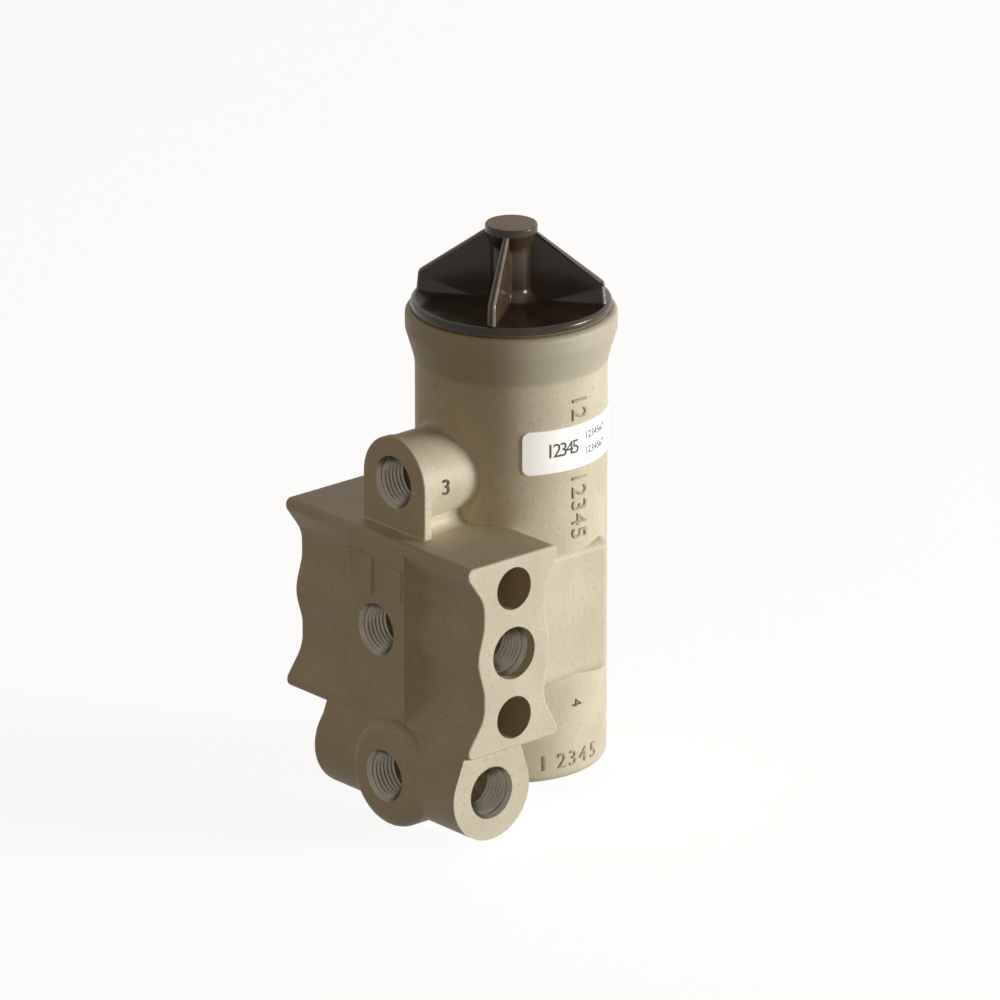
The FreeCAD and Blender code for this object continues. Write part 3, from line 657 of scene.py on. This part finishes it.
class GOVERNOR_OT_finishes(bpy.types.Operator):
    """Give every solid its finish"""
    bl_idname = "governor.finishes"
    bl_label = "Finishes"

    def execute(self, context):
        colours = context.scene.governor_colours
        # Plain ones by colour, metallic share, roughness and, for the filters, a finer grain
        finishes = {
            "cast_aluminium": casting_finish(colours),
            "black_plastic": plastic_finish(colours),
            "seal_rubber": plain_metal("Seal rubber", (0.018, 0.018, 0.018), 0.0, 0.6),
            "spring_steel": plain_metal("Oiled spring steel", (0.30, 0.29, 0.28), 1.0, 0.38),
            "zinc_steel": plain_metal("Zinc plated steel", (0.62, 0.62, 0.61), 1.0, 0.35),
            "stem_brass": plain_metal("Turned brass", (0.60, 0.44, 0.18), 1.0, 0.32),
            "turned_aluminium": plain_metal("Turned aluminium", (0.66, 0.66, 0.65), 1.0, 0.36),
            "filter_bronze": plain_metal("Sintered bronze", (0.26, 0.18, 0.09), 0.8, 0.7,
                                         fine_scale=2600.0),
            "label_film": plain_metal("Label film", tuple(colours.label), 0.0, 0.45),
        }
        for part in frame["record"]["subparts"]:
            assign(frame["nodes"][part["node"]], finishes[part["material_slot"]])
        return {"FINISHED"}


# Modelling

def deselect_all():
    bpy.ops.object.select_all(action="DESELECT")


def choose(piece):
    """Leaves this piece alone selected, and active."""
    deselect_all()
    piece.select_set(True)
    bpy.context.view_layer.objects.active = piece


def rename(piece, name):
    piece.name = name
    piece.data.name = name
    return piece


def take_new(name):
    """Names the object that an operator just made."""
    return rename(bpy.context.active_object, name)


def settle(piece):
    """Leaves the piece at the origin, unturned and unscaled, with its place in its mesh."""
    choose(piece)
    bpy.ops.object.transform_apply(location=True, rotation=True, scale=True)


def place(piece, origin, right, up):
    """Puts the piece's X along right, its Y along up and its Z out of the surface."""
    right = Vector(right).normalized()
    up = Vector(up).normalized()
    out = right.cross(up)
    turned = Matrix((right, up, out)).transposed().to_4x4()
    piece.matrix_world = Matrix.Translation(Vector(origin)) @ turned @ piece.matrix_world
    settle(piece)
    return piece


def own_copy(piece, name):
    """A copy with its own mesh, in sight even where the piece was replaced and hidden."""
    twin = piece.copy()
    twin.data = piece.data.copy()
    rename(twin, name)
    twin.parent = None
    twin.hide_render = False
    twin.hide_viewport = False
    bpy.context.scene.collection.objects.link(twin)
    return twin


def apply_modifiers(piece):
    choose(piece)
    for modifier in list(piece.modifiers):
        bpy.ops.object.modifier_apply(modifier=modifier.name)


def edit(piece, action="SELECT", kind="VERT"):
    """Opens the piece in edit mode, with all of it selected or none."""
    choose(piece)
    bpy.ops.object.mode_set(mode="EDIT")
    bpy.ops.mesh.select_mode(type=kind)
    bpy.ops.mesh.select_all(action=action)


def leave_edit():
    bpy.ops.object.mode_set(mode="OBJECT")


def edit_picked(piece):
    """Opens the piece in edit mode with what code has selected in its mesh."""
    choose(piece)
    bpy.ops.object.mode_set(mode="EDIT")


def smooth(piece, angle):
    choose(piece)
    bpy.ops.object.shade_smooth_by_angle(angle=math.radians(angle))


def join(pieces, name):
    """Makes one piece of several."""
    choose(pieces[0])
    for piece in pieces:
        piece.select_set(True)
    bpy.ops.object.join()
    return rename(pieces[0], name)


def close_and_turn_out(piece):
    """Merges doubles, closes the open ends and turns every face outwards."""
    edit(piece)
    bpy.ops.mesh.remove_doubles(threshold=MERGE_FINE)
    bpy.ops.mesh.fill_holes(sides=0)
    bpy.ops.mesh.select_all(action="SELECT")
    bpy.ops.mesh.normals_make_consistent(inside=False)
    leave_edit()


# Threads

def thread_ridge(sizes):
    """One cut thread: a sharp ridge that runs up a screw line about Z, with closed ends."""
    reach = sizes.depth + THREAD_SINK
    flank = reach / 1.5
    deselect_all()
    bpy.ops.mesh.primitive_circle_add(vertices=3, radius=1.0, fill_type="NOTHING",
                                      rotation=(math.pi / 2, 0.0, 0.0))
    ridge = take_new("thread_ridge")
    settle(ridge)
    # The triangle's point turns towards the axis
    ridge.rotation_euler = (0.0, -math.pi / 2, 0.0)
    settle(ridge)
    ridge.scale = (flank, 1.0, sizes.pitch / TRIANGLE_SIDE)
    ridge.location = (sizes.wall_radius + THREAD_SINK - flank / 2, 0.0, sizes.pitch / 2)
    settle(ridge)
    screw = ridge.modifiers.new("Screw line", "SCREW")
    screw.axis = "Z"
    screw.angle = 2.0 * math.pi
    screw.screw_offset = sizes.pitch
    screw.iterations = sizes.turns
    screw.steps = sizes.steps
    screw.render_steps = sizes.steps
    screw.use_merge_vertices = False
    apply_modifiers(ridge)
    close_and_turn_out(ridge)
    smooth(ridge, 28.0)
    return ridge


def port_rim(sizes):
    """The countersink's thin cut face, from the mouth down to the bore, about Z."""
    deselect_all()
    bpy.ops.mesh.primitive_cone_add(vertices=72, radius1=sizes.mouth_radius - RIM_SINK,
                                    radius2=sizes.wall_radius - RIM_SINK, depth=sizes.chamfer,
                                    end_fill_type="NOTHING", location=(0.0, 0.0, sizes.chamfer / 2))
    rim = take_new("port_rim")
    settle(rim)
    edit(rim)
    bpy.ops.mesh.subdivide(number_cuts=1)
    leave_edit()
    shell = rim.modifiers.new("Thin shell", "SOLIDIFY")
    shell.thickness = RIM_THICKNESS
    shell.offset = 1.0
    shell.use_rim = True
    apply_modifiers(rim)
    edit(rim)
    bpy.ops.mesh.normals_make_consistent(inside=False)
    leave_edit()
    smooth(rim, 35.0)
    return rim


class GOVERNOR_OT_threads(bpy.types.Operator):
    """Cut the pipe thread and the countersink's bright face in all six ports"""
    bl_idname = "governor.threads"
    bl_label = "Port threads"

    def execute(self, context):
        sizes = context.scene.governor_threads
        material = cut_metal("Cut thread metal", tuple(context.scene.governor_colours.thread))
        ridge = thread_ridge(sizes)
        rim = port_rim(sizes)
        for name, (mouth, inward, recess) in PORTS.items():
            inward = Vector(inward)
            # The front threads start on the wall that the front view can't see
            up = Vector((0.0, 0.0, -1.0 if inward.y > 0.5 else 1.0))
            right = up.cross(inward)
            start = Vector(mouth) + inward * recess
            cut = own_copy(ridge, "thread_" + name)
            place(cut, start + inward * (sizes.chamfer - THREAD_LEAD_IN), right, up)
            face = own_copy(rim, "rim_" + name)
            place(face, start, right, up)
            for piece in (cut, face):
                assign(piece, material)
                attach(piece, "body")
        for pattern in (ridge, rim):
            bpy.data.objects.remove(pattern, do_unlink=True)
        return {"FINISHED"}


# Cover

def weigh_outer_edges(piece, sharp):
    """Marks the sharp edges that stand out, and not the ones in corners, for the rounding."""
    shape = bmesh.new()
    shape.from_mesh(piece.data)
    weights = shape.edges.layers.float.new("bevel_weight_edge")
    found = 0
    for edge in shape.edges:
        if len(edge.link_faces) == 2 and edge.is_convex and edge.calc_face_angle() > sharp:
            edge[weights] = 1.0
            found += 1
    shape.to_mesh(piece.data)
    shape.free()
    if not found:
        raise RuntimeError("the cover has no outer edge to round")


class GOVERNOR_OT_cover(bpy.types.Operator):
    """Replace the cover's sharp solid with one whose outer edges are rounded and carry a painted
    highlight
    """
    bl_idname = "governor.cover"
    bl_label = "Cover"

    def execute(self, context):
        sizes = context.scene.governor_cover
        moulded = own_copy(frame["nodes"]["cover"], "moulded_cover")
        edit(moulded)
        bpy.ops.mesh.remove_doubles(threshold=MERGE_COARSE)
        bpy.ops.mesh.dissolve_limited(angle_limit=math.radians(2.0))
        leave_edit()
        moulded.data.materials.append(edge_highlight_finish(context.scene.governor_colours))
        weigh_outer_edges(moulded, sizes.sharp)
        outer = moulded.modifiers.new("Rounded outer edges with painted highlight", "BEVEL")
        outer.width = sizes.edge
        outer.segments = sizes.segments
        outer.limit_method = "WEIGHT"
        outer.use_clamp_overlap = False
        # The rounded faces take the second slot, whose lighter colour is a painted highlight
        outer.material = 1
        apply_modifiers(moulded)
        smooth(moulded, 38.0)
        even = moulded.modifiers.new("Flat faces stay flat", "WEIGHTED_NORMAL")
        even.keep_sharp = True
        apply_modifiers(moulded)
        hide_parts("cover")
        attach(moulded, "cover")
        return {"FINISHED"}


# Springs

def spring_span(node, number, low, high):
    """The part of a spring between two heights, cut square and closed."""
    span = own_copy(frame["nodes"][node], "%s_%d" % (node, number))
    edit(span)
    bpy.ops.mesh.remove_doubles(threshold=MERGE_FINEST)
    own_low, own_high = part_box(node)
    for height, side in ((low, "inner"), (high, "outer")):
        if own_low[2] < height < own_high[2]:
            bpy.ops.mesh.select_all(action="SELECT")
            bpy.ops.mesh.bisect(plane_co=(0.0, 0.0, height), plane_no=(0.0, 0.0, 1.0),
                                use_fill=True, clear_inner=side == "inner",
                                clear_outer=side == "outer")
    leave_edit()
    return span


class GOVERNOR_OT_springs(bpy.types.Operator):
    """Cut each spring into closed spans between the heights of the pieces at its ends"""
    bl_idname = "governor.springs"
    bl_label = "Springs"

    def execute(self, context):
        for node, spans in SPRING_SPANS.items():
            for number, (still, moving, start, end) in enumerate(spans):
                low, high = min(start, end), max(start, end)
                span = spring_span(node, number + 1, low, high)
                smooth(span, 38.0)
                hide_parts(node)
                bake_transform(span)
        return {"FINISHED"}


# Label

def pick_corner_edges(film, sweep):
    """Selects the four short edges at the film's corners."""
    found = 0
    for edge in film.data.edges:
        a, b = (film.data.vertices[index].co for index in edge.vertices)
        level = abs(a.z - b.z) < 1e-7
        turns = [math.atan2(point.y - AXIS_Y, point.x - AXIS_X) for point in (a, b)]
        at_end = any(all(abs(turn - end) < 1e-3 for turn in turns) for end in (0.0, -sweep))
        if level and at_end:
            edge.select = True
            found += 1
    if found != 4:
        raise RuntimeError("the label's four corners were not found: %d" % found)


def label_film(sizes, low, high):
    """The sticker's film, spun round the cylinder with its corners rounded."""
    deselect_all()
    bpy.ops.mesh.primitive_plane_add(size=1.0, rotation=(math.pi / 2, 0.0, 0.0))
    film = take_new("label_film")
    settle(film)
    film.scale = (LABEL_THICKNESS, 1.0, high - low)
    film.location = (AXIS_X + LABEL_RADIUS + LABEL_THICKNESS / 2, AXIS_Y, (low + high) / 2)
    settle(film)
    edit(film)
    bpy.ops.mesh.spin(steps=sizes.steps, angle=sizes.sweep, center=(AXIS_X, AXIS_Y, 0.0),
                      axis=(0.0, 0.0, 1.0))
    leave_edit()
    edit(film, action="DESELECT", kind="EDGE")
    leave_edit()
    pick_corner_edges(film, sizes.sweep)
    edit_picked(film)
    bpy.ops.mesh.bevel(offset=sizes.corner, segments=7, affect="EDGES", clamp_overlap=True)
    leave_edit()
    close_and_turn_out(film)
    # The spin ran backwards from +X, so the film turns on to its start
    turned = Matrix.Rotation(sizes.start_angle + sizes.sweep, 4, "Z")
    axis = Matrix.Translation(Vector((AXIS_X, AXIS_Y, 0.0)))
    film.matrix_world = axis @ turned @ axis.inverted()
    settle(film)
    smooth(film, 40.0)
    return film


class GOVERNOR_OT_label(bpy.types.Operator):
    """Wrap the label with its rounded corners, and print plain numerals on it"""
    bl_idname = "governor.label"
    bl_label = "Label"

    def execute(self, context):
        colours = context.scene.governor_colours
        corner_low, corner_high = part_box("label")
        low, high = corner_low[2], corner_high[2]
        film = label_film(context.scene.governor_label, low, high)
        assign(film, glowing_film_finish(tuple(colours.label)))
        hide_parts("label")
        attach(film, "body")
        printed = []
        for text, first, step, rise, tall in LABEL_ROWS:
            for number, character in enumerate(text):
                printed.append(round_numeral(character, math.radians(first + step * number),
                                             (low + high) / 2 + rise, tall,
                                             LABEL_RADIUS + LABEL_THICKNESS, INK_THICKNESS))
        prints = join(printed, "label_numerals")
        assign(prints, plain_paint("Printing ink", tuple(colours.ink), 0.5))
        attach(prints, "body")
        return {"FINISHED"}


# Marks

def numeral(character, tall, thick):
    """A plain numeral, centred on the XY plane, that reaches as far above it as below."""
    deselect_all()
    bpy.ops.object.text_add()
    letter = bpy.context.active_object
    letter.data.body = character
    letter.data.align_x = "CENTER"
    letter.data.align_y = "CENTER"
    letter.data.size = tall * FONT_SIZE
    letter.data.extrude = thick
    letter.data.resolution_u = 4
    bpy.ops.object.convert(target="MESH")
    piece = take_new("numeral")
    edit(piece)
    bpy.ops.mesh.remove_doubles(threshold=MERGE_FINEST)
    bpy.ops.mesh.normals_make_consistent(inside=False)
    leave_edit()
    return piece


def round_numeral(character, angle, level, tall, radius, thick, downwards=False):
    """A numeral on the cylinder. Its inner half is sunk in what carries it."""
    out = Vector((math.cos(angle), math.sin(angle), 0.0))
    along = Vector((-math.sin(angle), math.cos(angle), 0.0))
    up = Vector((0.0, 0.0, 1.0))
    origin = Vector((AXIS_X, AXIS_Y, level)) + out * radius
    right, top = (-up, along) if downwards else (along, up)
    return place(numeral(character, tall, thick), origin, right, top)


def plaque(name, origin, wide, high, thick):
    """A bare plaque on the front: a soft raised border round a sunk field."""
    deselect_all()
    bpy.ops.mesh.primitive_cube_add(size=1.0, location=origin, scale=(wide, thick * 2.0, high))
    plate = take_new(name)
    settle(plate)
    edit(plate, action="DESELECT", kind="FACE")
    leave_edit()
    for face in plate.data.polygons:
        face.select = face.normal.y < -0.9
    edit_picked(plate)
    bpy.ops.mesh.inset(thickness=PLAQUE_BORDER, depth=0.0)
    bpy.ops.mesh.inset(thickness=PLAQUE_SLOPE, depth=-PLAQUE_FIELD_DEPTH)
    leave_edit()
    soft = plate.modifiers.new("Soft edges", "BEVEL")
    soft.width = PLAQUE_EDGE
    soft.segments = 2
    soft.limit_method = "ANGLE"
    apply_modifiers(plate)
    smooth(plate, 40.0)
    return plate


class GOVERNOR_OT_marks(bpy.types.Operator):
    """Add the plain cast numerals, the stamped port numerals and the two bare plaques"""
    bl_idname = "governor.marks"
    bl_label = "Cast marks"

    def execute(self, context):
        sizes = context.scene.governor_marks
        colours = context.scene.governor_colours
        cast = []
        for character, level in SIDE_NUMERALS:
            cast.append(round_numeral(character, SIDE_NUMERALS_ANGLE, level, sizes.tall,
                                      CYLINDER_RADIUS, sizes.raised, downwards=True))
        for character, degrees in FOOT_NUMERALS:
            cast.append(round_numeral(character, math.radians(degrees), FOOT_NUMERALS_Z,
                                      sizes.tall * FOOT_NUMERALS_SHARE, CYLINDER_RADIUS,
                                      sizes.raised))
        numerals = join(cast, "cast_numerals")
        # Darker than the casting round them
        assign(numerals, plain_paint("Darker cast numerals", tuple(colours.numeral_tone), 0.6))
        exhaust = place(numeral("3", sizes.small, EXHAUST_NUMERAL_THICKNESS),
                        EXHAUST_NUMERAL_PLACE, (0.0, 1.0, 0.0), (0.0, 0.0, 1.0))
        unloader = round_numeral("4", UNLOADER_NUMERAL_ANGLE, UNLOADER_NUMERAL_Z,
                                 sizes.small * UNLOADER_NUMERAL_SHARE, CYLINDER_RADIUS,
                                 UNLOADER_NUMERAL_THICKNESS, downwards=True)
        stamped = join([exhaust, unloader], "stamped_numerals")
        # Painted shadow: the stamped numerals are coloured dark for the shade inside stamped
        # grooves
        assign(stamped, plain_paint("Stamped numerals", tuple(colours.stamp_shadow), 0.7))
        marks = [numerals, stamped]
        for name, (middle, wide, high) in PLAQUES.items():
            plate = plaque(name, middle, wide, high, sizes.plaque)
            assign(plate, frame["nodes"]["body_casting"].data.materials[0])
            marks.append(plate)
        for mark in marks:
            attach(mark, "body")
        return {"FINISHED"}


# Panel

class GOVERNOR_PT_panel(bpy.types.Panel):
    """The governor's pieces, sizes and colours"""
    bl_idname = "GOVERNOR_PT_panel"
    bl_label = "Air Compressor Governor"
    bl_space_type = "VIEW_3D"
    bl_region_type = "UI"
    bl_category = "Governor"

    def draw(self, context):
        layout = self.layout
        scene = context.scene
        for title, operator, group in PANEL_ROWS:
            box = layout.box()
            box.label(text=title)
            box.operator(operator)
            if group is None:
                continue
            sizes = getattr(scene, group)
            for name in sizes.bl_rna.properties.keys():
                if name not in ("rna_type", "name"):
                    box.prop(sizes, name)


PANEL_ROWS = (
    ("Finishes", "governor.finishes", "governor_colours"),
    ("Cover", "governor.cover", "governor_cover"),
    ("Springs", "governor.springs", None),
    ("Port threads", "governor.threads", "governor_threads"),
    ("Label", "governor.label", "governor_label"),
    ("Cast marks", "governor.marks", "governor_marks"),
    ("Stage", "governor.stage", "governor_stage"),
)

GROUPS = {
    "governor_stage": StageSizes,
    "governor_threads": ThreadSizes,
    "governor_cover": CoverSizes,
    "governor_label": LabelSizes,
    "governor_marks": MarkSizes,
    "governor_colours": FinishColours,
}

classes = (StageSizes, ThreadSizes, CoverSizes, LabelSizes, MarkSizes, FinishColours,
           GOVERNOR_OT_finishes, GOVERNOR_OT_cover, GOVERNOR_OT_springs, GOVERNOR_OT_threads,
           GOVERNOR_OT_label, GOVERNOR_OT_marks, GOVERNOR_OT_stage, GOVERNOR_PT_panel)


def register():
    for cls in classes:
        bpy.utils.register_class(cls)
    for name, group in GROUPS.items():
        setattr(bpy.types.Scene, name, bpy.props.PointerProperty(type=group))


def unregister():
    for name in GROUPS:
        delattr(bpy.types.Scene, name)
    for cls in reversed(classes):
        bpy.utils.unregister_class(cls)


def main():
    register()
    bpy.ops.governor.finishes()
    bpy.ops.governor.cover()
    bpy.ops.governor.springs()
    bpy.ops.governor.threads()
    bpy.ops.governor.label()
    bpy.ops.governor.marks()
    bpy.ops.governor.stage()


if __name__ == "__main__":
    main()
